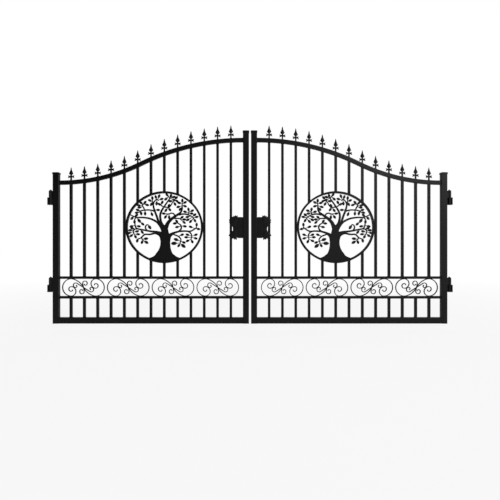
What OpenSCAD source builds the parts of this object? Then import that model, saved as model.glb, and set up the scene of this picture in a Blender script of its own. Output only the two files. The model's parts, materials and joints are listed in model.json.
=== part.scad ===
// Pair of ornamental steel driveway gate leaves on barrel hinges.
// Each leaf has a swept top rail with spear finials, an oval tree medallion and a band of scrolls.
// X runs across the opening from the left post face, Y into the drive and Z up.

/* [Opening] */
// Clear width between the faces of the two posts
opening_w = 4000; // [3600:10:4600]
// Gap between the two leaves where they meet
meeting_gap = 20; // [10:1:40]

/* [Frame] */
// Width of the stiles, seen from the front
stile_w = 60; // [50:1:75]
// Depth of the stiles and of the bottom rail
frame_depth = 40; // [36:1:60]
// Height of the bottom rail
bottom_rail_h = 60; // [45:1:90]
// Wall of the frame tubes
frame_wall = 3; // [2:0.5:4]
// Outer corner radius of the frame tubes
frame_corner_r = 5; // [4.5:0.5:8]
// Rise of the hinge stile above the top rail, without its cap
hinge_stile_rise = 63; // [30:1:120]
// Rise of the meeting stile above the top rail, without its cap
meeting_stile_rise = 54; // [30:1:120]

/* [Stile caps] */
// Height of a cap above its stile
cap_h = 18; // [12:1:30]
// Overhang of a cap past its stile, all round
cap_overhang = 2.5; // [1:0.5:3]
// Chamfer round the top of a cap
cap_chamfer = 6; // [2:0.5:9]

/* [Top rail] */
// Height of the top rail's upper edge at the hinge stile
top_low_z = 1415; // [1380:1:1430]
// Rise of the top rail from hinge stile to meeting stile
top_rise = 422; // [350:1:430]
// Share of the run that curves upwards before the rail turns over
top_bend_share = 0.44; // [0.35:0.01:0.6]
// Height of the top rail's section
top_rail_h = 42; // [30:1:50]
// Wall of the top rail's tube
top_rail_wall = 2; // [1.5:0.5:3]

/* [Pickets] */
// Number of pickets in each leaf
picket_n = 13; // [13:1:14]
// Gap between the hinge stile and the first picket
first_gap = 103; // [90:1:115]
// Gap between the last picket and the meeting stile
last_gap = 107; // [90:1:115]
// Width and depth of a picket, a band rail and the top rail's depth
picket_w = 25; // [20:1:30]
// Wall of the picket tubes
picket_wall = 2; // [1.5:0.5:3]
// Outer corner radius of the picket tubes
picket_corner_r = 3.5; // [3.2:0.1:5]

/* [Scroll band] */
// Height of the lower band rail's underside
band_z = 246; // [200:1:260]
// Clear height between the two band rails
band_clear_h = 170; // [150:1:175]
// Number of scrolls in each leaf
scroll_n = 4; // [3:1:4]
// Gap between two scrolls
scroll_gap = 23; // [10:1:40]
// Gap between the hinge stile and the first scroll
scroll_start = 27; // [10:1:40]
// Gap between the last scroll and the meeting stile
scroll_end = 39; // [10:1:50]
// Thickness of the scroll bar, across its bend
scroll_bar_t = 6; // [4:0.5:8]
// Depth of the scroll bar
scroll_bar_d = 12; // [8:1:20]

/* [Medallion] */
// Which picket, from the hinge stile, carries the medallion's centre
ring_picket = 8; // [7:1:9]
// Height of the medallion's centre
ring_z = 953; // [900:1:1000]
// Half of the medallion's outer height
ring_half_h = 356; // [350:1:366]
// Thickness of the ring band, seen from the front
ring_band = 20; // [14:1:26]
// Thickness of the tree plate
tree_t = 8; // [5:0.5:14]
// Length of a leaf on the tree
leaf_l = 38; // [30:1:44]
// Width of a leaf on the tree
leaf_w = 21; // [16:1:26]
// Width of a leaf's stalk
stalk_w = 4; // [3:0.5:6]

/* [Finials] */
// Height of a finial above the top rail
finial_h = 127; // [110:1:140]
// Width of a finial's stem
stem_w = 14; // [10:1:20]
// Depth of a finial's stem
stem_d = 10; // [8:1:20]
// Width of the spear blade
blade_w = 45; // [36:1:56]
// Thickness of the spear blade at its ridge
blade_t = 15; // [10:1:22]
// Width across the two side barbs
barb_w = 62; // [50:1:70]
// Thickness of the side barbs
barb_t = 8; // [5:1:12]

/* [Lock] */
// Height of the lock's centre
lock_z = 949; // [900:1:1000]
// Height of the lock case
lock_h = 204; // [170:1:230]
// Thickness of the lock's cover plates
lock_plate_t = 3; // [2:0.5:4]
// Thickness of the cast leaves on the cover plates
lock_leaf_t = 4; // [2:0.5:6]

/* [Hinges] */
// Radius of the hinge barrels
barrel_r = 18; // [16:0.5:22]
// Thickness of the pad that meets the post
post_pad_t = 6; // [6:0.5:12]
// Thickness of the pad that meets the stile
stile_pad_t = 9; // [6:0.5:14]
// Width of the post pad
post_pad_w = 40; // [30:1:44]
// Width of the necks between barrels and pads
neck_w = 26; // [20:1:30]
// Height of the fixed lower barrel
fixed_barrel_h = 72; // [50:1:90]
// Height of the turning upper barrel
turning_barrel_h = 65; // [50:1:90]
// Height of the pointed cap on the turning barrel
barrel_tip_h = 14; // [8:1:20]
// Radius of the hinge pin
pin_r = 8; // [6:0.5:10]
// Radial clearance between pin and barrel
pin_clearance = 0.1; // [0.05:0.05:0.5]
// Running gap between the two barrels
barrel_gap = 0.8; // [0.5:0.1:0.9]
// Height of the lower hinge's underside
hinge_z = 311; // [280:1:400]
// Distance between the two hinges
hinge_spacing = 863; // [750:1:900]

/* [Hidden] */
$fn = 96;
// Facets of the wide, shallow arcs
wide_fn = 720;
// Overrun of every cut
overrun = 10;

// Leaf frame
hinge_x = post_pad_t + barrel_r;
leaf_x = post_pad_t + 2 * barrel_r + stile_pad_t;
leaf_end_x = opening_w / 2 - meeting_gap / 2;
inner_x = leaf_x + stile_w;
inner_end_x = leaf_end_x - stile_w;
inner_w = inner_end_x - inner_x;
origin_z = hinge_z + fixed_barrel_h / 2;
hinge_stile_h = top_low_z + hinge_stile_rise;
meeting_stile_h = top_low_z + top_rise + meeting_stile_rise;

// Pickets
picket_pitch = (inner_w - first_gap - last_gap - picket_w) / (picket_n - 1);
function picket_x(i) = inner_x + first_gap + picket_w / 2 + i * picket_pitch;

// Scroll band
band_floor_z = band_z + picket_w;
band_top_z = band_floor_z + band_clear_h;
infill_z = band_top_z + picket_w;

// Top rail: two tangent arcs that leave both stiles level
bend_angle = 2 * atan(top_rise / inner_w);
low_r = inner_w * top_bend_share / sin(bend_angle);
high_r = inner_w * (1 - top_bend_share) / sin(bend_angle);
low_centre_z = top_low_z + low_r;
high_centre_z = top_low_z + top_rise - high_r;
bend_x = inner_x + inner_w * top_bend_share;
function rail_top_z(x) = x < bend_x
    ? low_centre_z - sqrt(low_r * low_r - (x - inner_x) * (x - inner_x))
    : high_centre_z + sqrt(high_r * high_r - (inner_end_x - x) * (inner_end_x - x));

// Medallion: an oval of four tangent arcs that touches the pickets on either side
ring_reach = 3;
ring_i = ring_picket - 1;
ring_x = picket_x(ring_i);
ring_half_w = ring_reach * picket_pitch - picket_w / 2;
oval_long = max(ring_half_w, ring_half_h);
oval_short = min(ring_half_w, ring_half_h);
oval_end_share = 0.94;
end_r = oval_end_share * oval_short;
flank_r = (oval_long * oval_long - 2 * oval_long * end_r + oval_short * oval_short)
    / (2 * (oval_short - end_r));
end_x = oval_long - end_r;
flank_z = flank_r - oval_short;
end_angle = atan2(flank_z, end_x);

// Scrolls: round loops at both ends, half let into the band rails, and a bowed bar between them
scroll_w = (inner_w - scroll_start - scroll_end - (scroll_n - 1) * scroll_gap) / scroll_n;
scroll_pitch = scroll_w + scroll_gap;
loop_r = band_clear_h / 2;
loop_x = scroll_w / 2 - loop_r - scroll_bar_t / 2;
bow_share = 0.62;
bow_sine = bow_share + (1 - bow_share) * loop_r / loop_x;
bow_heading = 180 - asin(bow_sine);
bow_r = (loop_x * loop_x - loop_r * loop_r) / (2 * (loop_x * bow_sine - loop_r));
bow_centre = bow_r * [-sin(bow_heading), cos(bow_heading)];
loop_heading = atan2(-bow_centre[1], -loop_x - bow_centre[0]) + 90;
coil_shares = [0.547, 0.277, 0.146];
coil_turns = [180, 180, 100];
curl_shares = [0.27, 0.146];
curl_centre_shares = [0.518, 0.258];
curl_centre = loop_r * curl_centre_shares - [loop_x, 0];
curl_r = loop_r * curl_shares[0];
curl_heading = atan2(curl_centre[1], curl_centre[0]) - asin(curl_r / norm(curl_centre));
curl_run = sqrt(curl_centre * curl_centre - curl_r * curl_r);
curl_turns = [360 - curl_heading, 150];
bud_shares = [0.263, 0.146];
bud_turns = [-240, -120];
bud_heading = 101;
bud_run_share = 0.44;
bar_end_share = 0.54;
scroll_step_angle = 12;

// Hinges: radius of a barrel's blunt tip
barrel_tip_share = 0.17;

// Finial heights, as shares of the finial
barb_low_share = 0.16;
barb_waist_share = 0.29;
barb_high_share = 0.38;
barb_notch_share = 0.82;
blade_foot_share = 0.38;
blade_wide_share = 0.52;
blade_neck_share = 0.77;
blade_neck_w_share = 0.38;
blade_tip_w_share = 0.12;
barb_root_share = 0.28;

// Lock: width from the stile to the far side of the last picket
lock_w = last_gap + picket_w;
lock_case_share = 0.42;
lock_bulge_share = 0.03;
lock_body_h_share = 0.86;
lock_case_d = picket_w;
slit_x_share = 0.81;
slit_z_share = -0.07;
slit_h_share = 0.26;
slit_w_share = 0.17;
lobe_w_share = 0.21;
lobe_start_share = 0.08;
lobe_boss_share = 0.11;
// Root and tips of the leaf lobes: shares of the lock's width and half height
upper_root_shares = [0.70, 0.40];
upper_tip_shares = [[0.46, 1.18], [0.61, 1.20], [0.76, 1.12], [0.90, 0.99], [1.05, 0.77], [1.05, 0.53]];
lower_root_shares = [0.70, -0.46];
lower_tip_shares = [[1.06, -0.82], [0.91, -1.00], [0.75, -1.14], [0.54, -1.20]];

// Tree limbs: places as shares of the oval's half width and half height, with the limb's
// breadth as a share of the half width
limb_steps = 4;
limb_tip_share = 0.54;
limb_shares = [
    // Trunk
    [[0.01, -0.95, 0.45], [0.01, -0.90, 0.72], [0.01, -0.865, 0.80], [0.01, -0.835, 0.66],
        [0.01, -0.80, 0.545], [0.01, -0.75, 0.45], [0.014, -0.69, 0.365], [0.02, -0.60, 0.29],
        [0.025, -0.50, 0.25], [0.025, -0.38, 0.238], [0.02, -0.26, 0.22], [0.012, -0.12, 0.185],
        [0.01, -0.03, 0.14], [0.012, 0.00, 0.10]],
    // Webs under the two low limbs
    [[-0.07, -0.36, 0.06], [-0.085, -0.28, 0.06], [-0.13, -0.215, 0.05], [-0.22, -0.18, 0.03],
        [-0.30, -0.18, 0.02]],
    [[0.12, -0.40, 0.06], [0.13, -0.30, 0.06], [0.17, -0.225, 0.05], [0.25, -0.18, 0.03]],
    // Low left limb with its two forks, curl and drooping branch
    [[0.00, -0.20, 0.11], [-0.09, -0.17, 0.085], [-0.22, -0.13, 0.05], [-0.38, -0.11, 0.04],
        [-0.57, -0.07, 0.036], [-0.70, -0.04, 0.03], [-0.75, 0.02, 0.026], [-0.76, 0.10, 0.02]],
    [[-0.68, -0.045, 0.026], [-0.76, -0.055, 0.026], [-0.80, -0.10, 0.024], [-0.80, -0.15, 0.022],
        [-0.78, -0.19, 0.018]],
    [[-0.44, -0.10, 0.03], [-0.475, -0.05, 0.028], [-0.49, 0.01, 0.026], [-0.46, 0.06, 0.022],
        [-0.42, 0.075, 0.018]],
    [[-0.12, -0.16, 0.06], [-0.24, -0.165, 0.045], [-0.37, -0.20, 0.036], [-0.50, -0.20, 0.032],
        [-0.56, -0.25, 0.028], [-0.61, -0.30, 0.024], [-0.67, -0.325, 0.02], [-0.70, -0.37, 0.016]],
    [[-0.58, -0.27, 0.024], [-0.58, -0.32, 0.022], [-0.55, -0.36, 0.018]],
    // Left limb with two end forks
    [[-0.02, -0.12, 0.10], [-0.07, -0.02, 0.07], [-0.15, 0.10, 0.052], [-0.25, 0.183, 0.045],
        [-0.39, 0.245, 0.04], [-0.57, 0.272, 0.034], [-0.70, 0.27, 0.03], [-0.79, 0.30, 0.024],
        [-0.86, 0.335, 0.02], [-0.92, 0.36, 0.02]],
    [[-0.70, 0.27, 0.024], [-0.75, 0.25, 0.022], [-0.77, 0.20, 0.018]],
    // Upper left limb
    [[0.00, -0.06, 0.10], [-0.06, 0.03, 0.06], [-0.14, 0.13, 0.052], [-0.195, 0.30, 0.046],
        [-0.25, 0.457, 0.04], [-0.285, 0.60, 0.032], [-0.27, 0.69, 0.026], [-0.23, 0.75, 0.022],
        [-0.19, 0.775, 0.02], [-0.155, 0.745, 0.016]],
    [[-0.28, 0.64, 0.024], [-0.30, 0.70, 0.02], [-0.31, 0.745, 0.016]],
    [[-0.24, 0.43, 0.036], [-0.29, 0.46, 0.032], [-0.36, 0.477, 0.03], [-0.45, 0.48, 0.028],
        [-0.55, 0.47, 0.026], [-0.61, 0.455, 0.022], [-0.66, 0.415, 0.018]],
    [[-0.51, 0.475, 0.026], [-0.54, 0.555, 0.024], [-0.565, 0.60, 0.02], [-0.535, 0.655, 0.016]],
    // Middle limb with a forked side branch
    [[0.01, -0.06, 0.10], [-0.03, 0.03, 0.07], [-0.08, 0.13, 0.052], [-0.107, 0.281, 0.045],
        [-0.10, 0.38, 0.042], [-0.07, 0.457, 0.04], [-0.03, 0.53, 0.036], [0.012, 0.60, 0.032],
        [0.07, 0.69, 0.028], [0.125, 0.775, 0.024], [0.16, 0.82, 0.018]],
    [[-0.04, 0.53, 0.03], [0.01, 0.56, 0.026], [0.075, 0.55, 0.024], [0.12, 0.545, 0.02],
        [0.165, 0.60, 0.018], [0.20, 0.67, 0.018], [0.235, 0.73, 0.016]],
    [[0.00, 0.57, 0.026], [-0.06, 0.59, 0.024], [-0.10, 0.625, 0.018]],
    [[0.14, 0.80, 0.022], [0.12, 0.84, 0.018], [0.09, 0.88, 0.016]],
    // Upper right limb with its curl and two side branches
    [[0.02, -0.08, 0.12], [0.085, 0.10, 0.085], [0.157, 0.20, 0.07], [0.235, 0.268, 0.062],
        [0.33, 0.34, 0.05], [0.405, 0.397, 0.042], [0.447, 0.46, 0.034], [0.465, 0.53, 0.028],
        [0.46, 0.60, 0.024], [0.465, 0.67, 0.018]],
    [[0.25, 0.27, 0.036], [0.275, 0.31, 0.03], [0.24, 0.375, 0.028], [0.18, 0.39, 0.026],
        [0.12, 0.37, 0.022], [0.05, 0.37, 0.018]],
    [[0.37, 0.345, 0.04], [0.46, 0.365, 0.034], [0.54, 0.365, 0.032], [0.62, 0.345, 0.03],
        [0.69, 0.31, 0.026], [0.74, 0.27, 0.022], [0.77, 0.22, 0.018]],
    [[0.59, 0.355, 0.024], [0.63, 0.385, 0.022], [0.635, 0.44, 0.016]],
    [[0.26, 0.245, 0.034], [0.33, 0.245, 0.026], [0.40, 0.24, 0.024], [0.43, 0.21, 0.02],
        [0.46, 0.18, 0.016]],
    // Low right limb with its curl and two drooping branches
    [[0.02, -0.30, 0.10], [0.11, -0.235, 0.075], [0.20, -0.178, 0.05], [0.30, -0.142, 0.045],
        [0.40, -0.115, 0.04], [0.54, -0.108, 0.034], [0.66, -0.115, 0.032], [0.74, -0.08, 0.028],
        [0.80, -0.035, 0.024], [0.835, 0.00, 0.018]],
    [[0.38, -0.11, 0.036], [0.425, -0.06, 0.032], [0.44, 0.00, 0.03], [0.42, 0.06, 0.028],
        [0.37, 0.10, 0.024], [0.33, 0.125, 0.018]],
    [[0.61, -0.115, 0.032], [0.67, -0.155, 0.028], [0.705, -0.22, 0.026], [0.70, -0.29, 0.022],
        [0.69, -0.345, 0.016]],
    [[0.22, -0.165, 0.036], [0.265, -0.21, 0.03], [0.355, -0.25, 0.028], [0.41, -0.305, 0.026],
        [0.43, -0.36, 0.022], [0.41, -0.42, 0.02], [0.41, -0.46, 0.016]]
];

// Tree leaves: middle of the blade, then the place on the limb where the stalk starts; a fifth
// value is the size of a leaf that is larger than the others
leaf_shares = [
    // Upper left
    [-0.375, 0.745, -0.305, 0.71], [-0.31, 0.81, -0.305, 0.735], [-0.22, 0.84, -0.20, 0.775],
    [-0.135, 0.865, -0.175, 0.765], [-0.07, 0.785, -0.16, 0.75], [-0.20, 0.66, -0.185, 0.775],
    [-0.335, 0.64, -0.30, 0.71], [-0.445, 0.62, -0.535, 0.645], [-0.50, 0.69, -0.545, 0.63],
    [-0.60, 0.675, -0.55, 0.62], [-0.67, 0.61, -0.565, 0.60], [-0.645, 0.55, -0.55, 0.57],
    [-0.69, 0.48, -0.61, 0.455], [-0.715, 0.405, -0.65, 0.42], [-0.60, 0.385, -0.61, 0.455],
    [-0.497, 0.38, -0.50, 0.475], [-0.32, 0.36, -0.36, 0.477], [-0.16, 0.48, -0.255, 0.48],
    // Left
    [-0.72, 0.33, -0.76, 0.29], [-0.835, 0.25, -0.79, 0.30], [-0.77, 0.15, -0.77, 0.21],
    [-0.65, 0.18, -0.71, 0.27, 1.25], [-0.56, 0.09, -0.63, 0.16], [-0.85, 0.025, -0.755, 0.05],
    [-0.66, 0.025, -0.755, 0.04], [-0.83, -0.03, -0.75, -0.05], [-0.38, 0.00, -0.425, 0.075, 1.2],
    [-0.885, -0.085, -0.79, -0.085], [-0.705, -0.115, -0.80, -0.14], [-0.57, -0.14, -0.63, -0.055],
    [-0.68, -0.195, -0.78, -0.19], [-0.91, -0.16, -0.80, -0.13], [-0.855, -0.235, -0.79, -0.18],
    [-0.745, -0.265, -0.78, -0.19], [-0.70, -0.375, -0.69, -0.32], [-0.475, -0.32, -0.57, -0.335, 1.15],
    [-0.575, -0.415, -0.555, -0.355], [-0.465, -0.42, -0.555, -0.36, 1.2],
    // Top
    [-0.055, 0.69, -0.09, 0.615], [-0.13, 0.64, -0.07, 0.595], [0.04, 0.785, 0.11, 0.85],
    [0.07, 0.90, 0.115, 0.85], [0.17, 0.875, 0.155, 0.81], [0.24, 0.84, 0.15, 0.80],
    [0.31, 0.82, 0.25, 0.76], [0.25, 0.755, 0.15, 0.805], [0.155, 0.725, 0.085, 0.71],
    [0.275, 0.645, 0.235, 0.72], [0.12, 0.60, 0.09, 0.55], [0.14, 0.49, 0.10, 0.545],
    [0.04, 0.47, 0.09, 0.545], [-0.015, 0.38, 0.06, 0.37], [0.03, 0.285, 0.085, 0.365],
    [0.125, 0.275, 0.12, 0.37],
    // Upper right
    [0.33, 0.725, 0.375, 0.68], [0.385, 0.675, 0.46, 0.665], [0.465, 0.74, 0.463, 0.66],
    [0.535, 0.69, 0.465, 0.65], [0.535, 0.585, 0.463, 0.61], [0.36, 0.565, 0.46, 0.60],
    [0.41, 0.50, 0.46, 0.57], [0.625, 0.495, 0.635, 0.43], [0.72, 0.46, 0.635, 0.42],
    [0.535, 0.43, 0.63, 0.40], [0.705, 0.38, 0.63, 0.39], [0.785, 0.345, 0.72, 0.29],
    [0.835, 0.285, 0.745, 0.265], [0.595, 0.285, 0.69, 0.31], [0.605, 0.205, 0.73, 0.28],
    [0.68, 0.16, 0.755, 0.25], [0.79, 0.185, 0.755, 0.25], [0.457, 0.275, 0.41, 0.235],
    [0.515, 0.215, 0.435, 0.205], [0.51, 0.135, 0.45, 0.19],
    // Right
    [0.32, 0.165, 0.36, 0.105], [0.27, 0.105, 0.35, 0.115], [0.33, 0.005, 0.43, 0.03],
    [0.53, 0.025, 0.43, 0.04], [0.68, 0.01, 0.79, -0.04], [0.835, 0.07, 0.83, -0.01],
    [0.88, -0.05, 0.80, -0.035], [0.46, -0.21, 0.36, -0.255], [0.60, -0.21, 0.703, -0.25],
    [0.565, -0.28, 0.70, -0.285], [0.815, -0.21, 0.703, -0.26], [0.81, -0.31, 0.70, -0.28],
    [0.72, -0.40, 0.69, -0.335], [0.60, -0.38, 0.69, -0.335], [0.505, -0.425, 0.42, -0.39],
    [0.305, -0.345, 0.42, -0.39, 1.3], [0.25, -0.45, 0.41, -0.44, 1.5], [0.375, -0.51, 0.41, -0.45],
    [0.49, -0.52, 0.41, -0.45, 1.4]
];

// Places a left hand piece in the shared frame
module left_side() {
    translate([0, 0, -origin_z]) children();
}

// Places the mirror image of a left hand piece
module right_side() {
    translate([opening_w, 0, -origin_z]) mirror([1, 0, 0]) children();
}

// Stands a shape that is drawn in X and Y upright in X and Z, centred on the leaf's depth
module upright() {
    rotate([90, 0, 0]) children();
}

// Extrudes an outline, drawn in X and Z, to an even depth about the leaf's middle plane
module plate(depth) {
    upright() linear_extrude(depth, center = true) children();
}

function flat(p) = [p[0], p[1]];

module rounded_rect(w, d, r) {
    square([w - 2 * r, d], center = true);
    square([w, d - 2 * r], center = true);
    for (x = [-1, 1], y = [-1, 1]) translate([x * (w / 2 - r), y * (d / 2 - r)]) circle(r);
}

module tube_section(w, d, wall, r) {
    difference() {
        rounded_rect(w, d, r);
        rounded_rect(w - 2 * wall, d - 2 * wall, r - wall);
    }
}

// Pointed oval along X, from the origin to the length given
module lens(l, w) {
    r = (l * l + w * w) / (4 * w);
    intersection_for (side = [-1, 1]) translate([l / 2, side * (r - w / 2)]) circle(r);
}

// Lens from one place to another
module lens_between(from, to, w) {
    reach = to - from;
    translate(from) rotate(atan2(reach[1], reach[0])) lens(norm(reach), w);
}

module frame_tube_up(x, from_z, to_z) {
    translate([x, 0, from_z]) linear_extrude(to_z - from_z)
        tube_section(stile_w, frame_depth, frame_wall, frame_corner_r);
}

module picket_up(x, from_z, to_z) {
    translate([x, 0, from_z]) linear_extrude(to_z - from_z)
        tube_section(picket_w, picket_w, picket_wall, picket_corner_r);
}

module rail_across(mid_z, h, d, wall, r) {
    translate([inner_x, 0, mid_z]) rotate([90, 0, 90]) linear_extrude(inner_w) tube_section(d, h, wall, r);
}

// Region of the leaf under a line that follows the top rail, some way below its upper edge
module under_rail(drop) {
    split_x = bend_x + drop * sin(bend_angle);
    difference() {
        translate([inner_x, 0]) square([split_x - inner_x, low_centre_z]);
        translate([inner_x, low_centre_z]) circle(low_r + drop, $fn = wide_fn);
    }
    intersection() {
        translate([split_x, 0]) square([inner_end_x - split_x, low_centre_z]);
        translate([inner_end_x, high_centre_z]) circle(high_r - drop, $fn = wide_fn);
    }
}

// Outline of the filled oval, taken in by a margin; its long axis lies across unless it is taller
module oval(margin) {
    tangent_x = end_x + (end_r - margin) * cos(end_angle);
    half_h = oval_short - margin;
    rotate(ring_half_h > ring_half_w ? 90 : 0) {
        intersection() {
            translate([-tangent_x, -half_h]) square([2 * tangent_x, 2 * half_h]);
            translate([0, -flank_z]) circle(flank_r - margin, $fn = wide_fn);
            translate([0, flank_z]) circle(flank_r - margin, $fn = wide_fn);
        }
        for (side = [-1, 1]) translate([side * end_x, 0]) circle(end_r - margin, $fn = wide_fn);
    }
}

// Fixed lower barrel with its pin and the pad that is welded to the post
module hinge_pin() {
    cylinder(h = fixed_barrel_h, r = barrel_r);
    cylinder(h = fixed_barrel_h + barrel_gap + turning_barrel_h - pin_r, r = pin_r);
    translate([-hinge_x, -post_pad_w / 2, 0]) cube([post_pad_t, post_pad_w, fixed_barrel_h]);
    translate([-hinge_x, -neck_w / 2, 0]) cube([hinge_x, neck_w, fixed_barrel_h]);
}

// Turning upper barrel with its pointed cap, blind bore and stile pad
module hinge_barrel() {
    translate([0, 0, fixed_barrel_h + barrel_gap]) difference() {
        union() {
            cylinder(h = turning_barrel_h, r = barrel_r);
            translate([0, 0, turning_barrel_h])
                cylinder(h = barrel_tip_h, r1 = barrel_r, r2 = barrel_r * barrel_tip_share);
            translate([0, -neck_w / 2, 0]) cube([leaf_x - hinge_x, neck_w, turning_barrel_h]);
        }
        translate([0, 0, -overrun])
            cylinder(h = overrun + turning_barrel_h - pin_r + pin_clearance, r = pin_r + pin_clearance);
    }
}

module at_hinges() {
    for (i = [0, 1]) translate([hinge_x, 0, hinge_z + i * hinge_spacing]) children();
}

module hinge_pins() {
    color([0.10, 0.10, 0.11]) at_hinges() hinge_pin();
}

module hinge_barrels() {
    color([0.12, 0.12, 0.13]) at_hinges() hinge_barrel();
}

module hinge_stile() {
    color([0.09, 0.09, 0.10]) frame_tube_up(leaf_x + stile_w / 2, 0, hinge_stile_h);
}

module meeting_stile() {
    color([0.09, 0.09, 0.10]) frame_tube_up(leaf_end_x - stile_w / 2, 0, meeting_stile_h);
}

// Side view of a cap: a slab with its upper corners chamfered
module cap_profile(w) {
    polygon([
        [-w / 2, 0], [w / 2, 0], [w / 2, cap_h - cap_chamfer], [w / 2 - cap_chamfer, cap_h],
        [cap_chamfer - w / 2, cap_h], [-w / 2, cap_h - cap_chamfer]
    ]);
}

module stile_cap() {
    cap_w = stile_w + 2 * cap_overhang;
    cap_d = frame_depth + 2 * cap_overhang;
    intersection() {
        plate(cap_d) cap_profile(cap_w);
        rotate([0, 0, 90]) plate(cap_w) cap_profile(cap_d);
    }
}

module stile_caps() {
    color([0.11, 0.11, 0.12]) {
        translate([leaf_x + stile_w / 2, 0, hinge_stile_h]) stile_cap();
        translate([leaf_end_x - stile_w / 2, 0, meeting_stile_h]) stile_cap();
    }
}

module bottom_rail() {
    color([0.09, 0.09, 0.10])
        rail_across(bottom_rail_h / 2, bottom_rail_h, frame_depth, frame_wall, frame_corner_r);
}

// One arc of the top rail, in the upright plane round the arc's own centre
module rail_arc(inner_r, start_angle) {
    upright() rotate_extrude(angle = bend_angle, start = start_angle, $fn = wide_fn)
        translate([inner_r + top_rail_h / 2, 0])
        tube_section(top_rail_h, picket_w, top_rail_wall, picket_corner_r);
}

// Lower length of the top rail, which sweeps up from the hinge stile
module top_rail_sweep() {
    color([0.10, 0.10, 0.11]) translate([inner_x, 0, low_centre_z]) rail_arc(low_r, 270);
}

// Upper length of the top rail, which crowns towards the meeting stile
module top_rail_crown() {
    color([0.10, 0.10, 0.11]) translate([inner_end_x, 0, high_centre_z]) rail_arc(high_r - top_rail_h, 90);
}

module band_rail(mid_z) {
    color([0.10, 0.10, 0.11]) rail_across(mid_z, picket_w, picket_w, picket_wall, picket_corner_r);
}

module band_lower_rail() {
    band_rail(band_z + picket_w / 2);
}

module band_upper_rail() {
    band_rail(band_top_z + picket_w / 2);
}

// Short pickets between the bottom rail and the scroll band
module low_pickets() {
    color([0.08, 0.08, 0.09]) for (i = [0 : picket_n - 1]) picket_up(picket_x(i), bottom_rail_h, band_z);
}

// Pickets that run clear of the medallion, coped to the underside of the top rail
module full_pickets() {
    color([0.08, 0.08, 0.09]) intersection() {
        for (i = [0 : picket_n - 1])
            if (abs(i - ring_i) >= ring_reach) picket_up(picket_x(i), infill_z, rail_top_z(picket_x(i)));
        plate(picket_w + overrun) under_rail(top_rail_h);
    }
}

// Pickets from the medallion up to the top rail, coped at both ends
module upper_pickets() {
    color([0.08, 0.08, 0.09]) difference() {
        intersection() {
            for (i = [ring_i + 1 - ring_reach : ring_i + ring_reach - 1])
                picket_up(picket_x(i), ring_z, rail_top_z(picket_x(i)));
            plate(picket_w + overrun) under_rail(top_rail_h);
        }
        translate([ring_x, 0, ring_z]) plate(picket_w + overrun) oval(0);
    }
}

// Pickets from the scroll band up to the medallion
module middle_pickets() {
    color([0.08, 0.08, 0.09]) difference() {
        for (i = [ring_i + 1 - ring_reach : ring_i + ring_reach - 1])
            picket_up(picket_x(i), infill_z, ring_z);
        translate([ring_x, 0, ring_z]) plate(picket_w + overrun) oval(0);
    }
}

// Cross-section of the spear blade at one height: a slim diamond
function diamond(z, half_w, half_t) = [[half_w, 0, z], [0, half_t, z], [-half_w, 0, z], [0, -half_t, z]];

module spear_blade() {
    half_w = blade_w / 2;
    half_t = blade_t / 2;
    rings = [
        diamond(finial_h * blade_foot_share, stem_w / 2, stem_d / 2),
        diamond(finial_h * blade_wide_share, half_w, half_t),
        diamond(finial_h * blade_neck_share, half_w * blade_neck_w_share, half_t * blade_neck_w_share),
        diamond(finial_h, half_w * blade_tip_w_share, half_t * blade_tip_w_share)
    ];
    last = 4 * (len(rings) - 1);
    polyhedron(
        points = [for (ring = rings) each ring],
        faces = [
            [0, 1, 2, 3],
            [last + 3, last + 2, last + 1, last],
            for (i = [0 : 4 : last - 4], j = [0 : 3]) each [
                [i + j, i + 4 + j, i + (j + 1) % 4],
                [i + (j + 1) % 4, i + 4 + j, i + 4 + (j + 1) % 4]
            ]
        ]
    );
}

// Two side barbs with forked ends
module barbs() {
    half_w = barb_w / 2;
    waist_z = finial_h * barb_waist_share;
    plate(barb_t) polygon([
        for (side = [-1, 1]) each let (ends = [
            [0, waist_z - stem_w * barb_root_share],
            [half_w, finial_h * barb_low_share],
            [half_w * barb_notch_share, waist_z],
            [half_w, finial_h * barb_high_share],
            [0, waist_z + stem_w * barb_root_share]
        ]) side > 0
            ? [for (i = [4 : -1 : 0]) ends[i]]
            : [for (i = [1 : 3]) [-ends[i][0], ends[i][1]]]
    ]);
}

module finial() {
    translate([-stem_w / 2, -stem_d / 2, -stem_w])
        cube([stem_w, stem_d, stem_w + finial_h * (blade_foot_share + blade_wide_share) / 2]);
    barbs();
    spear_blade();
}

// Spear finials over the pickets, coped to the upper edge of the top rail
module finials() {
    color([0.12, 0.12, 0.13]) difference() {
        for (i = [0 : picket_n - 1]) translate([picket_x(i), 0, rail_top_z(picket_x(i))]) finial();
        plate(picket_w + overrun) under_rail(0);
    }
}

// Places and headings along one bend of a bar; a turn to the left is positive
function bend_places(start, r, turn) = let (
    side = sign(turn),
    steps = ceil(abs(turn) / scroll_step_angle),
    centre = flat(start) + side * r * [-sin(start[2]), cos(start[2])]
) [
    for (i = [1 : steps]) let (heading = start[2] + turn * i / steps)
        [centre[0] + side * r * sin(heading), centre[1] - side * r * cos(heading), heading]
];

// Places and headings along a chain of bends
function chain_places(start, radii, turns, i = 0) = i == len(radii)
    ? []
    : let (places = bend_places(start, radii[i], turns[i]))
        [each places, each chain_places(places[len(places) - 1], radii, turns, i + 1)];

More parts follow.
